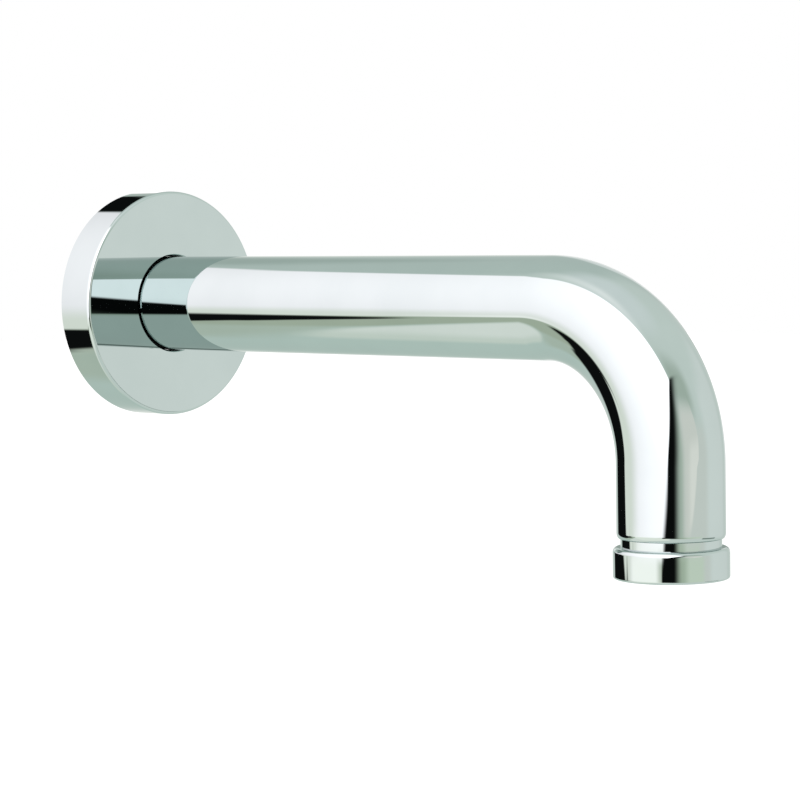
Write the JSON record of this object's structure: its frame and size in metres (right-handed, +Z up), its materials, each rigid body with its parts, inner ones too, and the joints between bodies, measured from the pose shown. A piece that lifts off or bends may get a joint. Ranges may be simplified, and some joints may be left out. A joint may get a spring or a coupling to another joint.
{
  "type": "wall spout",
  "caption": "Wall-mounted water spout: a chromed round tube bent down to an aerator outlet, with a round cover flange and a threaded wall nipple.",
  "frame": {"origin": "on the wall face, in the middle of the inlet thread", "axes": "+X out of the wall along the tube, +Z up, outlet pointing down (-Z)"},
  "size_m": [0.2074, 0.06, 0.0912],
  "materials": {
    "chrome": "mirror chrome plating on brass",
    "brass": "turned, bare",
    "rubber": "black, matt",
    "plastic": "moulded, pale grey",
    "foam": "closed-cell foam",
    "steel": "stainless"
  },
  "bodies": {
    "root": {"spout_tube": "chrome", "wall_flange": "chrome", "nose_bush": "chrome", "aerator_housing": "chrome", "wall_nipple": "brass", "inlet_bush": "brass", "nipple_o_ring_front": "rubber", "nipple_o_ring_rear": "rubber", "flange_o_ring": "rubber", "aerator_washer": "rubber", "aerator_cartridge": "plastic", "aerator_honeycomb": "plastic", "aerator_jet_plate": "plastic", "aerator_strainer": "plastic", "wall_gasket": "foam", "grub_screw": "steel"}
  },
  "joints": []
}
